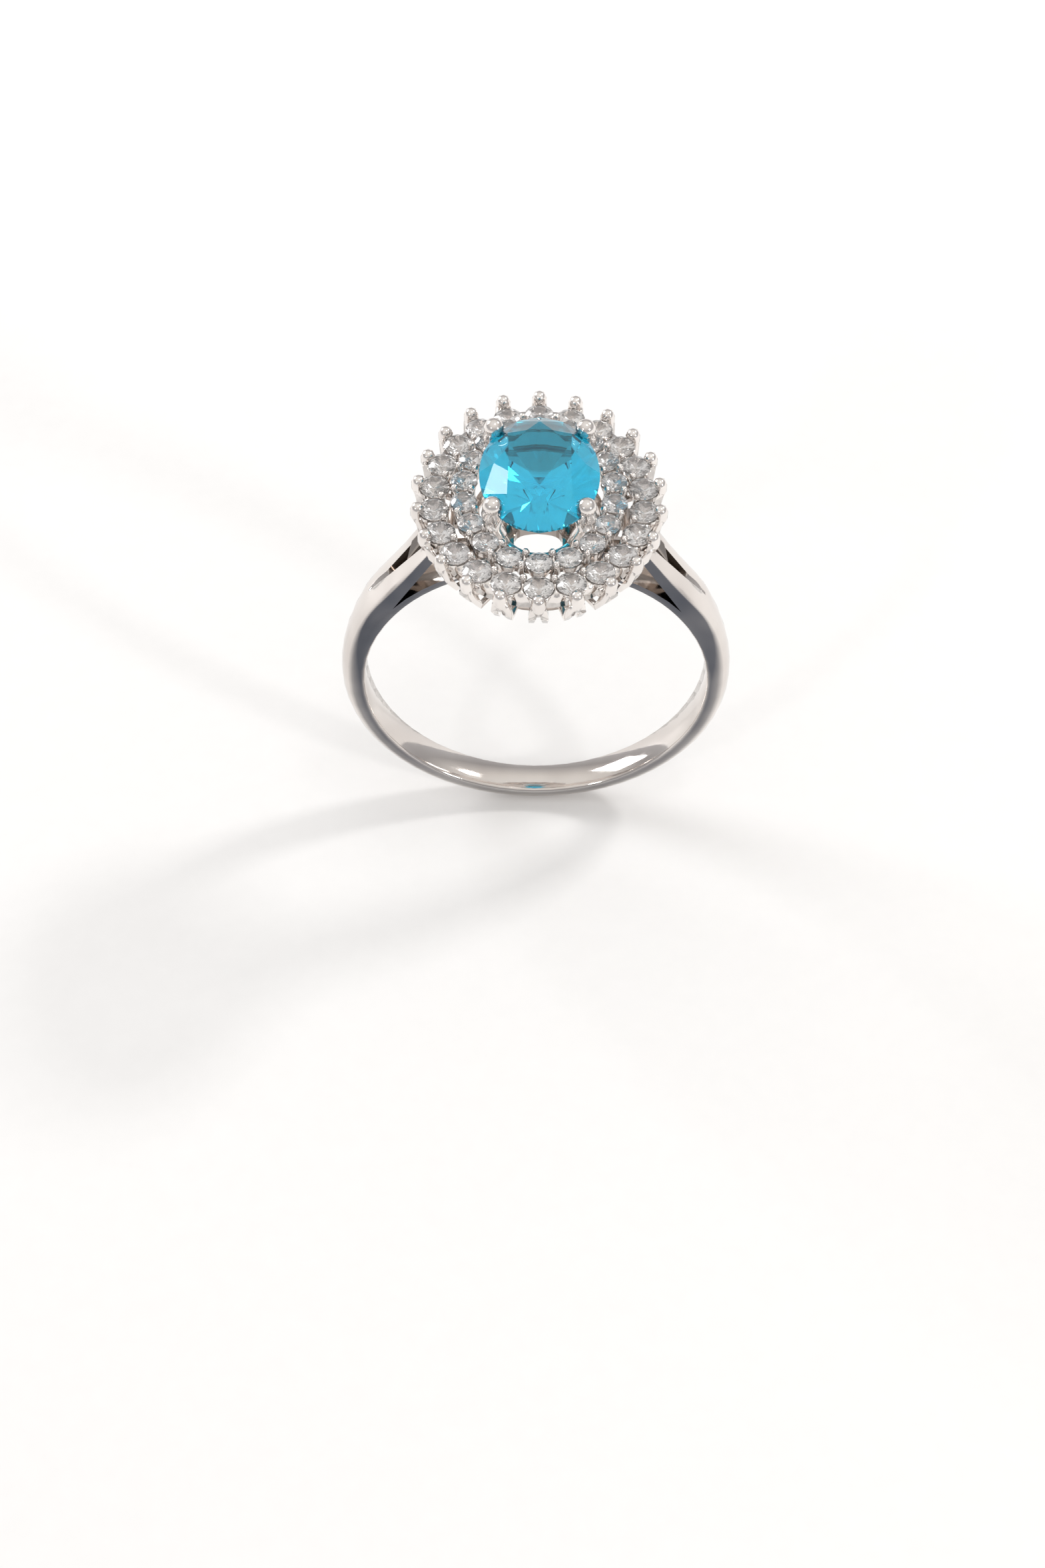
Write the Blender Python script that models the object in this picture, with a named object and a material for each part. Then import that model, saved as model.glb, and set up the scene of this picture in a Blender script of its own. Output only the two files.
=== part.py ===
"""Cluster cocktail ring: split-shoulder shank, two pavé halo tiers and an oval centre stone.

The finger bore is centred on the origin and runs along Y; the head stands up along +Z.
Dimensions below are in millimetres and the finished meshes are scaled to metres.
"""
import math

import bmesh
import bpy
from mathutils import Matrix, Vector

MM = 0.001
FIT_GAP = 0.03

# Shank
BORE_R = 9.1
BAND_R_BOTTOM = 10.2
BAND_R_SIDE = 10.36
BAND_R_SHOULDER = 10.52
BAND_W_BOTTOM = 1.9
BAND_W_SIDE = 2.3
BAND_W_SHOULDER = 2.75
BAND_W_HEAD = 2.95
SPLIT_ANGLE = 36.5
ARM_TOP_Z = 10.45
ARM_THICK = 0.45
ARM_END_X = 3.0
BRIDGE_R = 9.55
WINDOW_ANGLE = 38.7
BRIDGE_HOLE_X = 1.25
BRIDGE_HOLE_Y = 1.08

# Centre stone and its basket
CENTRE_A = 3.0
CENTRE_B = 4.0
CENTRE_Z = 14.4
CENTRE_CROWN = 0.95
CENTRE_GIRDLE = 0.09
CENTRE_PAVILION = 2.6
PRONG_X = 2.3
PRONG_Y = 2.78
PRONG_R = 0.52
PRONG_TIP_Z = 14.88
BASKET_RAIL_Z = 11.3
BASKET_RAIL_A = 2.15
BASKET_RAIL_B = 2.72
BASKET_RAIL_R = 0.2

# Outer halo tier
OUTER_N = 22
OUTER_A = 5.3
OUTER_B = 6.1
OUTER_Z = 12.68
OUTER_R = 0.75
PIN_A = 6.11
PIN_B = 7.23
PIN_R = 0.37
PIN_DOME_Z = 12.85
OUTER_RAIL_A = 4.45
OUTER_RAIL_B = 5.45
OUTER_RAIL_Z = 10.76

# Inner halo tier
INNER_N = 18
INNER_A = 3.8
INNER_B = 4.9
INNER_Z = 13.2
INNER_R = 0.66
INNER_RAIL_A = 3.36
INNER_RAIL_B = 4.3
INNER_RAIL_Z = 10.66

# Proportions shared by the small round brilliants, as fractions of their radius
CROWN_RATIO = 0.27
GIRDLE_RATIO = 0.045
PAVILION_RATIO = 0.82
TABLE_RATIO = 0.56
BEAD_R = 0.19

SILVER = (0.80, 0.775, 0.755)
SKY_BLUE = (0.075, 0.55, 0.83)
CLEAR = (0.88, 0.90, 0.92)


def clear_scene():
    for obj in list(bpy.data.objects):
        bpy.data.objects.remove(obj, do_unlink=True)


def principled(name, colour, roughness, metallic):
    material = bpy.data.materials.new(name)
    material.use_nodes = True
    shader = material.node_tree.nodes["Principled BSDF"]
    shader.inputs["Base Color"].default_value = (*colour, 1.0)
    shader.inputs["Roughness"].default_value = roughness
    shader.inputs["Metallic"].default_value = metallic
    material.diffuse_color = (*colour, 1.0)
    return material


def loft(bm, rings, closed):
    """Join rings of equal length into one closed shell, as a loop or with both ends capped."""
    rows = [[bm.verts.new(point) for point in ring] for ring in rings]
    count = len(rows[0])
    faces = []
    spans = len(rows) if closed else len(rows) - 1
    for i in range(spans):
        a = rows[i]
        b = rows[(i + 1) % len(rows)]
        for j in range(count):
            k = (j + 1) % count
            faces.append(bm.faces.new((a[j], a[k], b[k], b[j])))
    if not closed:
        faces.append(bm.faces.new(list(reversed(rows[0]))))
        faces.append(bm.faces.new(rows[-1]))
    bmesh.ops.recalc_face_normals(bm, faces=faces)


def disc(centre, side, up, radius, count, phase=0.0):
    points = []
    for k in range(count):
        angle = 2.0 * math.pi * k / count + phase
        points.append(centre + side * (radius * math.cos(angle)) + up * (radius * math.sin(angle)))
    return points


def wire(bm, path, radii, count, across=Vector((0.123, 0.987, 0.05)), phase=0.0):
    """Wire or bar along a path, with a radius given at every point of the path."""
    rings = []
    for i, point in enumerate(path):
        before = path[max(i - 1, 0)]
        after = path[min(i + 1, len(path) - 1)]
        tangent = (after - before).normalized()
        side = tangent.cross(across).normalized()
        rings.append(disc(point, side, tangent.cross(side), radii[i], count, phase))
    loft(bm, rings, False)


def turned(bm, centre, profile, count, phase=0.0):
    """Turned solid on a vertical axis; the profile lists (radius, height) from bottom to top."""
    rings = []
    for radius, height in profile:
        middle = centre + Vector((0.0, 0.0, height))
        rings.append(disc(middle, Vector((1, 0, 0)), Vector((0, 1, 0)), radius, count, phase))
    loft(bm, rings, False)


def domed_pin(bm, centre, radius, bottom, dome, count, foot=0.0):
    profile = [(radius, bottom), (radius, dome)]
    if foot > 0.0:
        profile.insert(0, (0.4 * radius, bottom - foot))
    for degrees in (38, 70):
        angle = math.radians(degrees)
        profile.append((radius * math.cos(angle), dome + radius * math.sin(angle)))
    turned(bm, centre, profile, count)


def oval_frame(a, b, angle):
    """Point, outward direction and tangent of an oval at a parameter angle."""
    point = Vector((a * math.cos(angle), b * math.sin(angle), 0.0))
    tangent = Vector((-a * math.sin(angle), b * math.cos(angle), 0.0)).normalized()
    outward = Vector((tangent.y, -tangent.x, 0.0))
    return point, outward, tangent


def oval_steps(a, b, count, offset=0.0):
    """Parameter angles of equally spaced places round an oval, the first at its front."""
    fine = 3600
    lengths = [0.0]
    last = Vector((0.0, -b))
    for i in range(1, fine + 1):
        angle = -math.pi / 2 + 2.0 * math.pi * i / fine
        here = Vector((a * math.cos(angle), b * math.sin(angle)))
        lengths.append(lengths[-1] + (here - last).length)
        last = here
    angles = []
    index = 0
    for k in range(count):
        target = lengths[-1] * ((k + offset) % count) / count
        index = 0 if target < lengths[index] else index
        while lengths[index + 1] < target:
            index += 1
        part = (target - lengths[index]) / (lengths[index + 1] - lengths[index])
        angles.append(-math.pi / 2 + 2.0 * math.pi * (index + part) / fine)
    return angles


def oval_rail(bm, a, b, height, half_width, half_height, count, chamfer=0.06):
    """Oval rail of rectangular section, with chamfered corners where a chamfer is given."""
    section = [
        (-half_width, -half_height),
        (half_width, -half_height),
        (half_width, half_height),
        (-half_width, half_height),
    ] if chamfer == 0.0 else [
        (-half_width, -half_height + chamfer),
        (-half_width + chamfer, -half_height),
        (half_width - chamfer, -half_height),
        (half_width, -half_height + chamfer),
        (half_width, half_height - chamfer),
        (half_width - chamfer, half_height),
        (-half_width + chamfer, half_height),
        (-half_width, half_height - chamfer),
    ]
    rings = []
    for angle in oval_steps(a, b, count):
        point, outward, tangent = oval_frame(a, b, angle)
        rings.append([point + outward * r + Vector((0, 0, height + h)) for r, h in section])
    loft(bm, rings, True)


def mesh_object(name, bm, material, smooth_angle):
    mesh = bpy.data.meshes.new(name)
    bm.to_mesh(mesh)
    bm.free()
    obj = bpy.data.objects.new(name, mesh)
    bpy.context.scene.collection.objects.link(obj)
    if material is not None:
        mesh.materials.append(material)
        mesh.polygons.foreach_set("use_smooth", [smooth_angle > 0] * len(mesh.polygons))
        if smooth_angle > 0:
            mesh.set_sharp_from_angle(angle=math.radians(smooth_angle))
    return obj


def combine(obj, other, operation, self_union=False):
    """Apply one exact boolean to an object and discard the second shape."""
    modifier = obj.modifiers.new(operation.lower(), "BOOLEAN")
    modifier.operation = operation
    modifier.solver = "EXACT"
    modifier.use_self = self_union
    modifier.object = other
    bpy.context.view_layer.update()
    evaluated = obj.evaluated_get(bpy.context.evaluated_depsgraph_get())
    mesh = bpy.data.meshes.new_from_object(evaluated)
    old = obj.data
    obj.modifiers.clear()
    obj.data = mesh
    bpy.data.meshes.remove(old)
    bpy.data.objects.remove(other, do_unlink=True)


def clean(bm):
    bmesh.ops.remove_doubles(bm, verts=bm.verts, dist=0.002)
    bmesh.ops.dissolve_degenerate(bm, edges=bm.edges, dist=0.0015)
    bmesh.ops.dissolve_limit(
        bm,
        angle_limit=math.radians(0.6),
        verts=bm.verts,
        edges=bm.edges,
        delimit={"SHARP"},
    )
    loose = [vert for vert in bm.verts if not vert.link_faces]
    bmesh.ops.delete(bm, geom=loose, context="VERTS")
    bmesh.ops.triangulate(bm, faces=bm.faces)


def finish(obj, name, material, smooth_angle):
    """Tidy a cut body, name it, shade it and scale it to metres."""
    bm = bmesh.new()
    bm.from_mesh(obj.data)
    clean(bm)
    bmesh.ops.transform(bm, matrix=Matrix.Scale(MM, 4), verts=bm.verts)
    bpy.data.objects.remove(obj, do_unlink=True)
    return mesh_object(name, bm, material, smooth_angle)


# ---------------------------------------------------------------- stones

def brilliant(bm, rx, ry, crown, girdle, pavilion, steps, spin=0.0):
    """Brilliant cut: table, 8 stars, 8 kites, 16 upper halves, girdle, 16 lower halves, 8 mains."""
    kite_slope = crown / (1.0 - TABLE_RATIO)
    main_slope = pavilion
    star_r = (TABLE_RATIO * math.cos(math.pi / 8) + 1.0) / 2.0
    star_z = girdle + kite_slope * (1.0 - star_r * math.cos(math.pi / 8))
    half_r = 0.24
    half_z = -girdle - main_slope * (1.0 - half_r * math.cos(math.pi / 8))

    def at(radius, eighths, height):
        angle = math.pi / 4 * eighths + spin
        return Vector((radius * math.cos(angle), radius * math.sin(angle), height))

    def edge_height(inner, j, k, sign):
        """Height on the girdle where the facet through one inner point crosses the outline."""
        first = at(1.0, j / 2, sign * girdle)
        second = at(1.0, (j + 1) / 2, sign * girdle)
        normal = (first - inner).cross(second - inner)
        place = at(1.0, (j + k / steps) / 2, 0.0)
        flat = normal.x * (place.x - first.x) + normal.y * (place.y - first.y)
        return first.z - flat / normal.z

    scale = Matrix.Diagonal((rx, ry, 1.0))

    def vert(point):
        return bm.verts.new(scale @ point)

    table_points = [at(TABLE_RATIO, k, girdle + crown) for k in range(8)]
    star_points = [at(star_r, k + 0.5, star_z) for k in range(8)]
    half_points = [at(half_r, k + 0.5, half_z) for k in range(8)]
    top_line = []
    low_line = []
    for j in range(16):
        star = star_points[j // 2]
        half = half_points[j // 2]
        for k in range(steps):
            fraction = (j + k / steps) / 2
            top_line.append(vert(at(1.0, fraction, edge_height(star, j, k, 1.0))))
            low_line.append(vert(at(1.0, fraction, edge_height(half, j, k, -1.0))))
    table = [vert(point) for point in table_points]
    star = [vert(point) for point in star_points]
    half = [vert(point) for point in half_points]
    culet = vert(Vector((0.0, 0.0, -girdle - pavilion)))
    total = 16 * steps
    faces = [bm.faces.new(table)]
    for k in range(8):
        nxt = (k + 1) % 8
        corner = 2 * k * steps
        faces.append(bm.faces.new((table[k], star[k], table[nxt])))
        faces.append(bm.faces.new((table[k], star[k - 1], top_line[corner], star[k])))
        faces.append(bm.faces.new((culet, half[k], low_line[corner], half[k - 1])))
        for side in range(2):
            first = corner + side * steps
            run = [(first + i) % total for i in range(steps + 1)]
            faces.append(bm.faces.new([star[k]] + [top_line[i] for i in run]))
            faces.append(bm.faces.new([half[k]] + [low_line[i] for i in reversed(run)]))
    for i in range(total):
        j = (i + 1) % total
        faces.append(bm.faces.new((low_line[i], low_line[j], top_line[j], top_line[i])))
    bmesh.ops.recalc_face_normals(bm, faces=faces)


def stone_object(name, material, place, rx, ry, sizes, steps, turn):
    bm = bmesh.new()
    brilliant(bm, rx, ry, *sizes, steps, math.pi / 8 if steps > 1 else 0.0)
    bmesh.ops.transform(bm, matrix=Matrix.Scale(MM, 4), verts=bm.verts)
    obj = mesh_object(name, bm, material, 0)
    obj.location = place * MM
    obj.rotation_euler = (0.0, 0.0, turn)
    return obj


def small_sizes(radius):
    return radius * CROWN_RATIO, radius * GIRDLE_RATIO, radius * PAVILION_RATIO


def small_seat(bm, centre, radius, turn):
    """Cutter a little larger than one round stone, open to below."""
    crown, girdle, pavilion = small_sizes(radius)
    gap = FIT_GAP
    wide = (radius + gap) / math.cos(math.pi / 10)
    profile = [
        (0.05, -girdle - pavilion - 0.12),
        (wide, -girdle - gap),
        (wide, girdle + gap),
        (wide * TABLE_RATIO + gap, girdle + crown + gap),
        (wide * TABLE_RATIO + gap, girdle + crown + 0.6),
    ]
    turned(bm, centre, profile, 10, turn + math.pi / 10)


def centre_seat(bm):
    """Cutter a little larger than the centre stone."""
    gap = FIT_GAP
    profile = [
        (0.05, -CENTRE_GIRDLE - CENTRE_PAVILION - 0.1),
        (1.0, -CENTRE_GIRDLE - gap),
        (1.0, CENTRE_GIRDLE + gap),
        (TABLE_RATIO, CENTRE_GIRDLE + CENTRE_CROWN + gap),
        (TABLE_RATIO, CENTRE_GIRDLE + CENTRE_CROWN + 1.0),
    ]
    rings = []
    for radius, height in profile:
        ring = []
        for k in range(64):
            angle = 2.0 * math.pi * (k + 0.5) / 64
            ring.append(Vector((
                (CENTRE_A * radius + gap) * math.cos(angle) * 1.002,
                (CENTRE_B * radius + gap) * math.sin(angle) * 1.002,
                CENTRE_Z + height,
            )))
        rings.append(ring)
    loft(bm, rings, False)


# ---------------------------------------------------------------- shank

def blend(value, low, high):
    part = min(max((value - low) / (high - low), 0.0), 1.0)
    return part * part * (3.0 - 2.0 * part)


def band_radius(degrees):
    """Outer radius of the shank on its centre line, measured up from the finger's side."""
    if degrees <= 0.0:
        return BAND_R_BOTTOM + (BAND_R_SIDE - BAND_R_BOTTOM) * blend(degrees, -90.0, 0.0)
    if degrees <= SPLIT_ANGLE:
        return BAND_R_SIDE + (BAND_R_SHOULDER - BAND_R_SIDE) * blend(degrees, 0.0, SPLIT_ANGLE)
    straight = BAND_R_SHOULDER / math.cos(math.radians(min(degrees, 80.0) - SPLIT_ANGLE))
    level = ARM_TOP_Z / math.sin(math.radians(degrees))
    return min(straight, level)


def band_width(degrees):
    width = BAND_W_BOTTOM + (BAND_W_SIDE - BAND_W_BOTTOM) * blend(degrees, -90.0, 5.0)
    width += (BAND_W_SHOULDER - BAND_W_SIDE) * blend(degrees, 0.0, 40.0)
    return width + (BAND_W_HEAD - BAND_W_SHOULDER) * blend(degrees, 40.0, 65.0)


def band_section(degrees):
    """Section through the shank: flat inside, and a half-round outside that squares off upwards."""
    outer = band_radius(degrees)
    half = band_width(degrees) / 2
    dome = outer - BORE_R - 0.26
    dome += (0.30 - dome) * blend(degrees, 0.0, 37.0)
    dome += (0.08 - 0.30) * blend(degrees, 48.0, 62.0)
    wall = outer - dome
    points = [
        (BORE_R, -half + 0.14),
        (BORE_R, half - 0.14),
        (BORE_R + 0.12, half),
    ]
    for step in range(11):
        angle = math.pi * step / 10
        lift = dome * math.sin(angle)
        points.append((wall + lift, half * math.cos(angle)))
    points.append((BORE_R + 0.12, -half))
    return points


def shank_stations():
    half = [-90.0 + 6.0 * k for k in range(21)]
    half += [33.0, 36.5, 39.0, 42.0, 46.0, 50.0, 54.0, 57.5, 60.5, 62.9, 66.0, 72.0, 81.0, 90.0]
    other = [180.0 - degrees for degrees in reversed(half[1:-1])]
    return half + other


def shank_body():
    bm = bmesh.new()
    rings = []
    for degrees in shank_stations():
        own = degrees if degrees <= 90.0 else 180.0 - degrees
        angle = math.radians(degrees)
        ring = []
        for radius, across in band_section(own):
            ring.append(Vector((radius * math.cos(angle), across, radius * math.sin(angle))))
        rings.append(ring)
    loft(bm, rings, True)
    return mesh_object("shank_body", bm, None, 0)


def window_cutter():
    """Side windows between the arms and the bridge, and the open space under the head."""
    outline = []
    for step in range(17):
        angle = math.radians(WINDOW_ANGLE + (180.0 - 2 * WINDOW_ANGLE) * step / 16)
        outline.append((BRIDGE_R * math.cos(angle), BRIDGE_R * math.sin(angle)))
    bend_x = 5.02
    under = ARM_TOP_Z - ARM_THICK
    outline += [
        (-bend_x, under + 0.06),
        (-bend_x + 0.28, under),
        (-ARM_END_X, under),
        (-ARM_END_X, 13.0),
        (ARM_END_X, 13.0),
        (ARM_END_X, under),
        (bend_x - 0.28, under),
        (bend_x, under + 0.06),
    ]
    bm = bmesh.new()
    rings = []
    for y in (-3.0, 3.0):
        rings.append([Vector((x, y, z)) for x, z in outline])
    loft(bm, rings, False)
    return mesh_object("window_cutter", bm, None, 0)


def split_cutter():
    """Tapering groove that parts each shoulder into a front and a rear arm."""
    stations = [
        (34.5, 0.02, 0.01, 10.49),
        (37.0, 0.14, 0.02, 10.2),
        (40.0, 0.31, 0.04, 9.9),
        (44.0, 0.46, 0.1, 9.7),
        (52.0, 0.6, 0.2, 9.7),
        (62.9, 0.7, 0.32, 9.8),
        (76.0, 0.72, 0.34, 9.8),
    ]
    bm = bmesh.new()
    for mirror in (1.0, -1.0):
        rings = []
        for degrees, top, low, floor in stations:
            angle = math.radians(degrees)
            ring = []
            for radius, across in ((floor, -low), (floor, low), (12.6, top + 0.1), (12.6, -top - 0.1)):
                ring.append(Vector((mirror * radius * math.cos(angle), across, radius * math.sin(angle))))
            rings.append(ring)
        loft(bm, rings, False)
    return mesh_object("split_cutter", bm, None, 0)


def bridge_hole_cutter():
    """Rounded opening through the bridge under the centre stone."""
    bm = bmesh.new()
    rings = []
    for z in (8.0, 9.9):
        ring = []
        for k in range(24):
            angle = 2.0 * math.pi * (k + 0.5) / 24
            c = math.cos(angle)
            s = math.sin(angle)
            x = BRIDGE_HOLE_X * math.copysign(abs(c) ** 0.6, c)
            y = BRIDGE_HOLE_Y * math.copysign(abs(s) ** 0.6, s)
            ring.append(Vector((x, y, z)))
        rings.append(ring)
    loft(bm, rings, False)
    return mesh_object("bridge_hole_cutter", bm, None, 0)


def build_shank(material):
    body = shank_body()
    combine(body, window_cutter(), "DIFFERENCE")
    combine(body, split_cutter(), "DIFFERENCE")
    combine(body, bridge_hole_cutter(), "DIFFERENCE")
    return finish(body, "shank", material, 40)


# ---------------------------------------------------------------- head

def prong_path(sx, sy):
    points = [
        (1.62, 1.04, 9.2),
        (1.66, 1.2, 10.0),
        (1.76, 1.68, 11.3),
        (1.98, 2.3, 12.6),
        (2.17, 2.62, 13.4),
        (PRONG_X - 0.02, PRONG_Y - 0.03, 13.85),
        (PRONG_X, PRONG_Y, 14.35),
        (PRONG_X, PRONG_Y, PRONG_TIP_Z - 0.15),
    ]
    return [Vector((sx * x, sy * y, z)) for x, y, z in points]


def prong_wires(bm, grow):
    """The four claws of the centre stone, or with some growth the clearance round them."""
    radii = [0.30, 0.30, 0.34, 0.37, 0.38, 0.54, 0.56, 0.50]
    for sx, sy in ((-1, -1), (1, -1), (1, 1), (-1, 1)):
        wire(bm, prong_path(sx, sy), [radius + grow for radius in radii], 10)


def build_basket(material):
    bm = bmesh.new()
    oval_rail(bm, BASKET_RAIL_A, BASKET_RAIL_B, BASKET_RAIL_Z, 0.17, 0.2, 36)
    body = mesh_object("basket_body", bm, None, 0)
    bm = bmesh.new()
    prong_wires(bm, 0.0)
    for sx, sy in ((-1, -1), (1, -1), (1, 1), (-1, 1)):
        centre = Vector((sx * PRONG_X, sy * PRONG_Y, PRONG_TIP_Z))
        profile = []
        for degrees in (-64, -38, -12, 14, 40, 62, 80):
            angle = math.radians(degrees)
            profile.append((PRONG_R * math.cos(angle), PRONG_R * math.sin(angle)))
        turned(bm, centre, profile, 12)
    combine(body, mesh_object("prongs", bm, None, 0), "UNION", True)
    bm = bmesh.new()
    centre_seat(bm)
    combine(body, mesh_object("centre_seat", bm, None, 0), "DIFFERENCE")
    bm = bmesh.new()
    rings = []
    for y in (-3.0, 3.0):
        rings.append(disc(Vector((0, y, 0)), Vector((1, 0, 0)), Vector((0, 0, 1)), BRIDGE_R + 0.04, 120))
    loft(bm, rings, False)
    combine(body, mesh_object("bridge_clearance", bm, None, 0), "DIFFERENCE")
    return finish(body, "centre_basket", material, 40)


def outer_fork(bm, tip_angle, seat_angle):
    """Round outer prong whose two legs run down to a knee and in to the tier's lower rail."""
    tip, outward, tangent = oval_frame(PIN_A, PIN_B, tip_angle)
    foot = oval_frame(OUTER_RAIL_A, OUTER_RAIL_B, seat_angle)[0]
    inward = (foot - tip).normalized()
    reach = (foot - tip).length
    domed_pin(bm, tip, PIN_R, 12.42, PIN_DOME_Z, 8, 0.5)
    for side in (-1.0, 1.0):
        path = [
            tip + tangent * (side * 0.18) + Vector((0, 0, 12.45)),
            tip + tangent * (side * 0.31) + inward * 0.2 + Vector((0, 0, 11.65)),
            tip + tangent * (side * 0.34) + inward * 0.66 + Vector((0, 0, 10.84)),
            tip + tangent * (side * 0.32) + inward * reach + Vector((0, 0, OUTER_RAIL_Z)),
        ]
        wire(bm, path, [0.25, 0.26, 0.18, 0.17], 4, tangent, math.pi / 4)


def build_outer_tier(material):
    seats = oval_steps(OUTER_A, OUTER_B, OUTER_N)
    tips = oval_steps(PIN_A, PIN_B, OUTER_N)
    gaps = oval_steps(OUTER_A - 0.42, OUTER_B - 0.42, OUTER_N, 0.5)
    bm = bmesh.new()
    oval_rail(bm, OUTER_A, OUTER_B, 12.12, 0.42, 0.46, 44, 0.0)
    body = mesh_object("outer_body", bm, None, 0)
    bm = bmesh.new()
    oval_rail(bm, OUTER_RAIL_A, OUTER_RAIL_B, OUTER_RAIL_Z, 0.2, 0.24, 44, 0.0)
    for seat, tip, gap in zip(seats, tips, gaps):
        centre = oval_frame(OUTER_A, OUTER_B, seat)[0]
        turned(bm, centre, [(0.66, 12.1), (0.79, 12.56)], 10, seat)
        outer_fork(bm, tip, seat)
        bead = oval_frame(OUTER_A - 0.42, OUTER_B - 0.42, gap)[0]
        domed_pin(bm, bead, BEAD_R, 12.25, 12.9, 6)
    combine(body, mesh_object("outer_parts", bm, None, 0), "UNION", True)
    bm = bmesh.new()
    for seat in seats:
        centre = oval_frame(OUTER_A, OUTER_B, seat)[0] + Vector((0, 0, OUTER_Z))
        small_seat(bm, centre, OUTER_R, seat)
    combine(body, mesh_object("outer_seats", bm, None, 0), "DIFFERENCE")
    return finish(body, "halo_tier_outer", material, 40)


def build_inner_tier(material):
    seats = oval_steps(INNER_A, INNER_B, INNER_N)
    gaps = oval_steps(INNER_A, INNER_B, INNER_N, 0.5)
    bm = bmesh.new()
    oval_rail(bm, INNER_A, INNER_B, 12.93, 0.38, 0.2, 36, 0.0)
    body = mesh_object("inner_body", bm, None, 0)
    bm = bmesh.new()
    oval_rail(bm, INNER_RAIL_A, INNER_RAIL_B, INNER_RAIL_Z, 0.17, 0.18, 36, 0.0)
    for index, (seat, gap) in enumerate(zip(seats, gaps)):
        centre = oval_frame(INNER_A, INNER_B, seat)[0]
        turned(bm, centre, [(0.58, 12.66), (0.70, 13.08)], 10, seat)
        point, outward, tangent = oval_frame(INNER_A, INNER_B, gap)
        for shift in (-0.42, 0.42):
            domed_pin(bm, point + outward * shift, BEAD_R, 12.8, 13.42, 6)
        if index % 2 == 0:
            foot = oval_frame(INNER_RAIL_A, INNER_RAIL_B, gap)[0] + Vector((0, 0, INNER_RAIL_Z))
            path = [point + Vector((0, 0, 12.85)), (point + foot) / 2 + Vector((0, 0, 6.35)), foot]
            wire(bm, path, [0.2, 0.17, 0.15], 8)
    combine(body, mesh_object("inner_parts", bm, None, 0), "UNION", True)
    bm = bmesh.new()
    for seat in seats:
        centre = oval_frame(INNER_A, INNER_B, seat)[0] + Vector((0, 0, INNER_Z))
        small_seat(bm, centre, INNER_R, seat)
    combine(body, mesh_object("inner_seats", bm, None, 0), "DIFFERENCE")
    bm = bmesh.new()
    prong_wires(bm, FIT_GAP)
    combine(body, mesh_object("claw_clearance", bm, None, 0), "DIFFERENCE")
    return finish(body, "halo_tier_inner", material, 40)


def place_stones():
    sizes = (CENTRE_CROWN, CENTRE_GIRDLE, CENTRE_PAVILION)
    blue = principled("sky_blue_stone", SKY_BLUE, 0.03, 0.0)
    stone_object("centre_stone", blue, Vector((0, 0, CENTRE_Z)), CENTRE_A, CENTRE_B, sizes, 4, 0.0)
    rows = (
        ("halo_stone_outer", OUTER_N, OUTER_A, OUTER_B, OUTER_Z, OUTER_R),
        ("halo_stone_inner", INNER_N, INNER_A, INNER_B, INNER_Z, INNER_R),
    )
    for label, count, a, b, height, radius in rows:
        for index, angle in enumerate(oval_steps(a, b, count)):
            name = f"{label}_{index + 1:02d}"
            clear = principled(name, CLEAR, 0.03, 0.0)
            place = oval_frame(a, b, angle)[0] + Vector((0, 0, height))
            stone_object(name, clear, place, radius, radius, small_sizes(radius), 1, angle)


def main():
    clear_scene()
    build_shank(principled("shank_silver", SILVER, 0.14, 1.0))
    build_basket(principled("basket_silver", SILVER, 0.14, 1.0))
    build_outer_tier(principled("outer_tier_silver", SILVER, 0.16, 1.0))
    build_inner_tier(principled("inner_tier_silver", SILVER, 0.16, 1.0))
    place_stones()


main()
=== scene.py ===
"""Looks for the cluster ring: polished silver, sky-blue centre stone and clear halo stones."""

import math

import bmesh
import bpy
from mathutils import Matrix, Vector

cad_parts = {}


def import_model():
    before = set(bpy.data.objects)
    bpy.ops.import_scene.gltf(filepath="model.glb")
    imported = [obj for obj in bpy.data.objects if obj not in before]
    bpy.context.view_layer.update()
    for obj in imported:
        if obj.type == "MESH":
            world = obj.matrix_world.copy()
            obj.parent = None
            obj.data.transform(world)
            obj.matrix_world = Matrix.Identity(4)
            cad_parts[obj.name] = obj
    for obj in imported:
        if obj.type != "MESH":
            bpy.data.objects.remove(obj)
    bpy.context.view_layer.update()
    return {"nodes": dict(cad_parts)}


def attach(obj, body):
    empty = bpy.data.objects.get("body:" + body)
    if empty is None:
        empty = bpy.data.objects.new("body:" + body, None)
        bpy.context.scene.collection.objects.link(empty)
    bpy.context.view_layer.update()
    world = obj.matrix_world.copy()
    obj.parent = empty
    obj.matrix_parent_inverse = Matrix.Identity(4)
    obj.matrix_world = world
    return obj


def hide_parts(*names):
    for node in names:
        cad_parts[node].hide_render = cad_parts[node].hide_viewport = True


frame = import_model()

METAL_NODES = ("shank", "centre_basket", "halo_tier_outer", "halo_tier_inner")
SHARP_ANGLE = 38.0                  # degrees; steeper edges of the metal stay crisp
WELD_DISTANCE = 0.0000015

# Metal tones
BAND_BRIGHT = (0.78, 0.735, 0.70)
BAND_DULL = (0.67, 0.625, 0.595)
HEAD_BRIGHT = (0.90, 0.86, 0.83)
HEAD_DULL = (0.81, 0.77, 0.74)
# painted shade: darker, warmer silver deep in the head's recesses
RECESS_PAINTED_SHADE = (0.58, 0.49, 0.43)
# painted reflection: the band's flat sides darkened as if mirroring a dark stand
PAINTED_SIDE_REFLECTION = (0.085, 0.092, 0.112)
# painted shade: dark warm grey on faces turned inward, inside the band's groove
PAINTED_GROOVE_SHADE = (0.30, 0.265, 0.24)

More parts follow.
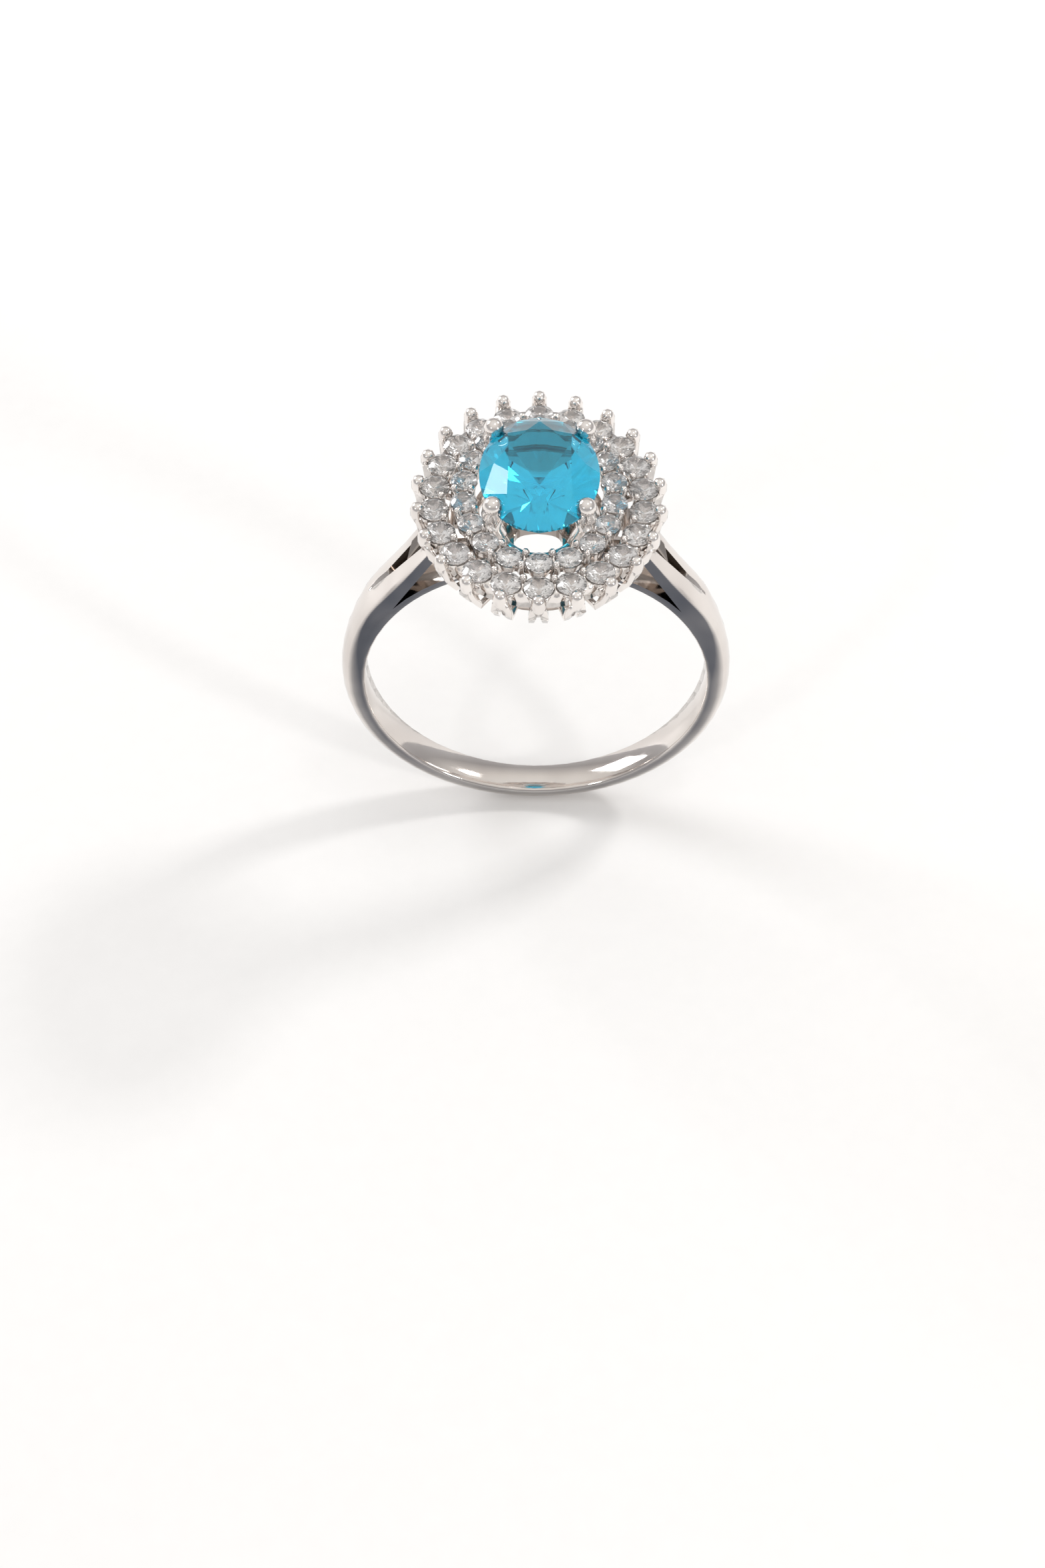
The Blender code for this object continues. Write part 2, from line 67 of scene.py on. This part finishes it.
# Where the painted shade and painted reflection lie: heights are Z places, in metres
BASKET_RECESS = ((0.0096, 0.0138), None)
OUTER_RECESS = ((0.0106, 0.0129), (0.0050, 0.0058))
INNER_RECESS = ((0.0106, 0.0134), None)
SIDE_RANGE = (0.00062, 0.00116)     # a face's Y place times its Y normal
GROOVE_RANGE = (-0.00020, -0.00005)

# Noise scales, per metre
TONE_SCALE = 260.0                  # slow tone changes along the metal
GRAIN_SCALE = 2600.0                # polishing grain
HAIR_SCALE = 900.0                  # hairline wear, drawn out along X and Z
HAIR_STRETCH = (1.0, 14.0, 1.0)
METAL_BUMP = (0.10, 0.00001)        # strength and height
CLOUD_SCALE = 420.0                 # colour zoning in a stone
POLISH_SCALE = 5200.0               # polish marks on a facet
GEM_BUMP = (0.03, 0.000004)

# Stones
BLUE_LIGHT = (0.035, 0.69, 1.0)
BLUE_DEEP = (0.02, 0.61, 0.98)
# painted shade: the blue stone's rear half below the girdle is darkened
BLUE_PAINTED_SHADE = (0.010, 0.075, 0.10)   # rear half below the girdle
BLUE_PAINTED_SHADE_Y = (-0.0002, 0.0008)
BLUE_PAINTED_SHADE_Z = (0.0138, 0.0143)
CLEAR_LIGHT = (1.0, 0.99, 0.98)
CLEAR_DEEP = (0.96, 0.96, 0.97)

# Studio, in metres and watts
FLOOR_Z = -0.01025
FLOOR_HALF = 0.6
FLOOR_TONES = ((0.86, 0.86, 0.86), (0.83, 0.83, 0.83))
WORLD_STOPS = (
    (0.0, (0.60, 0.60, 0.61)),
    (0.3, (0.46, 0.45, 0.45)),
    (0.75, (0.86, 0.83, 0.80)),
    (1.0, (0.95, 0.94, 0.92)),
)
WORLD_SEEN = (0.76, 0.755, 0.75)
WORLD_STRENGTH = 0.94
WARM = (1.0, 0.98, 0.96)
COOL = (0.99, 0.99, 1.0)
WHITE = (1.0, 1.0, 1.0)
HEAD_AIM = (0.0, 0.0, 0.006)
STONE_AIM = (-0.002, 0.0, 0.015)
SOFTBOXES = (                       # name, place, size, power, colour, aim
    ("key_back_right", (0.22, 0.14, 0.24), (0.05, 0.05), 0.32, WARM, HEAD_AIM),
    ("front_right", (0.24, -0.20, 0.14), (0.035, 0.035), 0.24, WARM, HEAD_AIM),
    ("back_left", (-0.265, 0.200, 0.150), (0.17, 0.15), 0.54, COOL, STONE_AIM),
    ("overhead", (0.08, -0.04, 0.36), (0.06, 0.06), 0.06, WHITE, HEAD_AIM),
    ("front_left", (-0.20, -0.26, 0.20), (0.03, 0.03), 0.10, WARM, HEAD_AIM),
)

# Camera: angles in degrees, distance from the finger bore's centre in metres
ELEVATION = 48.12
YAW = 0.67
ROLL = -1.14
DISTANCE = 0.150
SENSOR_MM = 36.0
LENS_MM = 64.299490
BORE_OFFSET = (0.00471328, 0.04127687)   # the bore's centre right of and above mid-view, as slopes


# ------------------------------------------------------------------ node helpers

def feed(tree, socket, value):
    """Give a socket a number, a colour or another node's output."""
    if isinstance(value, (int, float)):
        socket.default_value = value
    elif isinstance(value, tuple):
        socket.default_value = (*value, 1.0)
    else:
        tree.links.new(value, socket)


def new_material(name):
    material = bpy.data.materials.new(name)
    material.use_nodes = True
    tree = material.node_tree
    coords = tree.nodes.new("ShaderNodeTexCoord")
    return material, tree, tree.nodes["Principled BSDF"], coords.outputs


def xyz(tree, vector):
    node = tree.nodes.new("ShaderNodeSeparateXYZ")
    feed(tree, node.inputs["Vector"], vector)
    return node.outputs


def noise(tree, vector, scale, detail, rough=0.55, stretch=None):
    if stretch is not None:
        mapping = tree.nodes.new("ShaderNodeMapping")
        mapping.inputs["Scale"].default_value = stretch
        feed(tree, mapping.inputs["Vector"], vector)
        vector = mapping.outputs["Vector"]
    node = tree.nodes.new("ShaderNodeTexNoise")
    feed(tree, node.inputs["Vector"], vector)
    feed(tree, node.inputs["Scale"], scale)
    feed(tree, node.inputs["Detail"], detail)
    feed(tree, node.inputs["Roughness"], rough)
    return node.outputs["Fac"]


def ramp(tree, value, stops):
    node = tree.nodes.new("ShaderNodeValToRGB")
    elements = node.color_ramp.elements
    while len(elements) < len(stops):
        elements.new(0.5)
    for element, (place, colour) in zip(elements, stops):
        element.position = place
        element.color = (*colour, 1.0)
    feed(tree, node.inputs["Fac"], value)
    return node.outputs["Color"]


def remap(tree, value, low, high, to_low, to_high):
    node = tree.nodes.new("ShaderNodeMapRange")
    names = ("Value", "From Min", "From Max", "To Min", "To Max")
    for name, item in zip(names, (value, low, high, to_low, to_high)):
        feed(tree, node.inputs[name], item)
    return node.outputs["Result"]


def compute(tree, operation, a, b):
    node = tree.nodes.new("ShaderNodeMath")
    node.operation = operation
    for socket, value in zip(node.inputs, (a, b)):
        feed(tree, socket, value)
    return node.outputs["Value"]


def bump(tree, height, strength, distance):
    node = tree.nodes.new("ShaderNodeBump")
    feed(tree, node.inputs["Strength"], strength)
    feed(tree, node.inputs["Distance"], distance)
    feed(tree, node.inputs["Height"], height)
    return node.outputs["Normal"]


def mix_colour(tree, factor, a, b):
    node = tree.nodes.new("ShaderNodeMix")
    node.data_type = "RGBA"
    for name, value in (("Factor", factor), ("A", a), ("B", b)):
        feed(tree, node.inputs[name], value)
    return node.outputs["Result"]


# ------------------------------------------------------------------ materials

def painted_shade_mask(tree, place, grain, heights, oval):
    """Painted shade mask: 1 deep in the head, 0 at its top; an oval keeps what stands outside it
    unshaded.
    """
    where = xyz(tree, place)
    depth = remap(tree, where["Z"], *heights, 1.0, 0.0)
    depth = compute(tree, "MULTIPLY", depth, remap(tree, grain, 0.3, 0.7, 0.7, 1.0))
    if oval is None:
        return depth
    across = compute(tree, "POWER", compute(tree, "DIVIDE", where["X"], oval[0]), 2.0)
    along = compute(tree, "POWER", compute(tree, "DIVIDE", where["Y"], oval[1]), 2.0)
    inside = remap(tree, compute(tree, "ADD", across, along), 1.0, 1.17, 1.0, 0.0)
    return compute(tree, "MULTIPLY", depth, inside)


def paint_side_reflection_and_groove_shade(tree, coords, broad, colour):
    """Paint a dark reflection on a band's flat sides, and warm painted shade on the faces inside
    its groove.
    """
    facing = xyz(tree, coords["Normal"])
    where = xyz(tree, coords["Object"])
    outward = compute(tree, "MULTIPLY", facing["Y"], where["Y"])
    # painted reflection: outward-facing sides of the band darkened
    flat = remap(tree, outward, *SIDE_RANGE, 0.0, 1.0)
    flat = compute(tree, "MULTIPLY", flat, remap(tree, broad, 0.3, 0.7, 0.88, 1.0))
    colour = mix_colour(tree, flat, colour, PAINTED_SIDE_REFLECTION)
    # painted shade: faces turned inward, inside the groove, darkened
    groove = remap(tree, outward, *GROOVE_RANGE, 0.85, 0.0)
    return mix_colour(tree, groove, colour, PAINTED_GROOVE_SHADE)


def silver(name, bright, dull, roughness, recess=None, painted_light_on_sides=False):
    """Polished silver: soft tone changes, hairline wear, duller recesses with painted shade, and
    painted light on a band's sides.
    """
    material, tree, shader, coords = new_material(name)
    place = coords["Object"]
    broad = noise(tree, place, TONE_SCALE, 2.0)
    fine = noise(tree, place, GRAIN_SCALE, 4.0, 0.65)
    hair = noise(tree, place, HAIR_SCALE, 3.0, 0.6, HAIR_STRETCH)
    colour = mix_colour(tree, remap(tree, broad, 0.35, 0.65, 0.0, 1.0), bright, dull)
    rough = remap(tree, compute(tree, "MULTIPLY", fine, hair), 0.12, 0.42, *roughness)
    if recess is not None:
        # painted shade: the head's recesses darker and rougher towards their bottoms
        depth = painted_shade_mask(tree, place, fine, *recess)
        colour = mix_colour(tree, depth, colour, RECESS_PAINTED_SHADE)
        rough = compute(tree, "ADD", rough, compute(tree, "MULTIPLY", depth, 0.10))
    if painted_light_on_sides:
        colour = paint_side_reflection_and_groove_shade(tree, coords, broad, colour)
    height = compute(tree, "ADD", compute(tree, "MULTIPLY", hair, 0.5), fine)
    feed(tree, shader.inputs["Base Color"], colour)
    feed(tree, shader.inputs["Roughness"], rough)
    feed(tree, shader.inputs["Normal"], bump(tree, height, *METAL_BUMP))
    feed(tree, shader.inputs["Metallic"], 1.0)
    return material


def gem(name, light, deep, index, clarity, shade=None):
    """Cut stone: tint that shifts a little inside it, optional painted shade, faint polish marks
    and a high index.
    """
    material, tree, shader, coords = new_material(name)
    place = coords["Object"]
    cloud = noise(tree, place, CLOUD_SCALE, 3.0)
    polish = noise(tree, place, POLISH_SCALE, 2.0)
    colour = mix_colour(tree, remap(tree, cloud, 0.35, 0.65, 0.0, 1.0), light, deep)
    if shade is not None:
        # painted shade: rear half below the girdle darkened
        where = xyz(tree, place)
        rear = remap(tree, where["Y"], *BLUE_PAINTED_SHADE_Y, 0.0, 1.0)
        below = remap(tree, where["Z"], *BLUE_PAINTED_SHADE_Z, 1.0, 0.0)
        colour = mix_colour(tree, compute(tree, "MULTIPLY", rear, below), colour, shade)
    feed(tree, shader.inputs["Base Color"], colour)
    feed(tree, shader.inputs["Roughness"], remap(tree, polish, 0.4, 0.75, 0.0, 0.03))
    feed(tree, shader.inputs["Normal"], bump(tree, polish, *GEM_BUMP))
    feed(tree, shader.inputs["Transmission Weight"], clarity)
    feed(tree, shader.inputs["IOR"], index)
    return material


# ------------------------------------------------------------------ pieces

def polished_copy(node, material):
    """Welded, smoothly shaded piece of one metal node."""
    bm = bmesh.new()
    bm.from_mesh(frame["nodes"][node].data)
    bmesh.ops.remove_doubles(bm, verts=bm.verts, dist=WELD_DISTANCE)
    mesh = bpy.data.meshes.new(node + "_polished")
    bm.to_mesh(mesh)
    bm.free()
    mesh.materials.clear()
    mesh.materials.append(material)
    mesh.polygons.foreach_set("use_smooth", [True] * len(mesh.polygons))
    mesh.polygons.foreach_set("material_index", [0] * len(mesh.polygons))
    mesh.set_sharp_from_angle(angle=math.radians(SHARP_ANGLE))
    piece = bpy.data.objects.new(node + "_polished", mesh)
    bpy.context.scene.collection.objects.link(piece)
    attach(piece, "root")
    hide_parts(node)


def dress():
    """Polished copies for the four castings, and a gem material on every stone's own node."""
    metals = (
        silver("shank_silver", BAND_BRIGHT, BAND_DULL, (0.05, 0.14), painted_light_on_sides=True),
        silver("basket_silver", HEAD_BRIGHT, HEAD_DULL, (0.07, 0.16), BASKET_RECESS),
        silver("outer_tier_silver", HEAD_BRIGHT, HEAD_DULL, (0.07, 0.18), OUTER_RECESS),
        silver("inner_tier_silver", HEAD_BRIGHT, HEAD_DULL, (0.07, 0.18), INNER_RECESS),
    )
    for node, material in zip(METAL_NODES, metals):
        polished_copy(node, material)
    blue = gem("sky_blue_gem", BLUE_LIGHT, BLUE_DEEP, 1.62, 0.94, BLUE_PAINTED_SHADE)
    clear = gem("clear_gem", CLEAR_LIGHT, CLEAR_DEEP, 1.95, 0.92)
    for name, obj in frame["nodes"].items():
        if name not in METAL_NODES:
            for slot in obj.material_slots:
                slot.material = blue if name == "centre_stone" else clear


# ------------------------------------------------------------------ studio

def floor():
    bm = bmesh.new()
    corners = ((-1, -1), (1, -1), (1, 1), (-1, 1))
    bm.faces.new([bm.verts.new((x * FLOOR_HALF, y * FLOOR_HALF, FLOOR_Z)) for x, y in corners])
    mesh = bpy.data.meshes.new("floor")
    bm.to_mesh(mesh)
    bm.free()
    obj = bpy.data.objects.new("floor", mesh)
    bpy.context.scene.collection.objects.link(obj)
    material, tree, shader, coords = new_material("floor_paper")
    grain = noise(tree, coords["Object"], 900.0, 4.0)
    feed(tree, shader.inputs["Base Color"], mix_colour(tree, grain, *FLOOR_TONES))
    feed(tree, shader.inputs["Roughness"], 0.7)
    mesh.materials.append(material)


def softbox(name, place, size, power, colour, aim):
    light = bpy.data.lights.new(name, "AREA")
    light.shape = "RECTANGLE"
    light.size, light.size_y = size
    light.energy = power
    light.color = colour
    obj = bpy.data.objects.new(name, light)
    bpy.context.scene.collection.objects.link(obj)
    obj.location = place
    obj.rotation_euler = (Vector(aim) - Vector(place)).to_track_quat("-Z", "Y").to_euler()


def world():
    """Room that is pale overhead and darker lower down, with an even backdrop behind the floor."""
    studio = bpy.data.worlds.new("studio")
    bpy.context.scene.world = studio
    studio.use_nodes = True
    tree = studio.node_tree
    back = tree.nodes["Background"]
    coords = tree.nodes.new("ShaderNodeTexCoord")
    sky = ramp(tree, xyz(tree, coords.outputs["Generated"])["Z"], WORLD_STOPS)
    path = tree.nodes.new("ShaderNodeLightPath")
    seen = mix_colour(tree, path.outputs["Is Camera Ray"], sky, WORLD_SEEN)
    feed(tree, back.inputs["Color"], seen)
    feed(tree, back.inputs["Strength"], WORLD_STRENGTH)


def camera():
    """Camera above and in front of the ring, with a small roll."""
    elevation, yaw, roll = (math.radians(angle) for angle in (ELEVATION, YAW, ROLL))
    turn = Matrix.Rotation(-yaw, 3, "Z")
    back = turn @ Vector((0.0, -math.cos(elevation), math.sin(elevation)))
    up = turn @ Vector((0.0, math.sin(elevation), math.cos(elevation)))
    right = turn @ Vector((1.0, 0.0, 0.0))
    side = right * math.cos(roll) - up * math.sin(roll)
    top = right * math.sin(roll) + up * math.cos(roll)
    base = Matrix((side, top, back)).transposed()
    offset = Vector((*BORE_OFFSET, -1.0)).normalized()
    swing = Vector((0.0, 0.0, -1.0)).rotation_difference(offset).to_matrix()
    data = bpy.data.cameras.new("camera")
    data.sensor_width = SENSOR_MM
    data.lens = LENS_MM
    data.clip_start = 0.005
    data.clip_end = 10.0
    obj = bpy.data.objects.new("camera", data)
    bpy.context.scene.collection.objects.link(obj)
    matrix = (base @ swing.transposed()).to_4x4()
    matrix.translation = back * DISTANCE
    obj.matrix_world = matrix
    bpy.context.scene.camera = obj


dress()
floor()
world()
for row in SOFTBOXES:
    softbox(*row)
camera()
bpy.context.scene.view_settings.view_transform = "Standard"
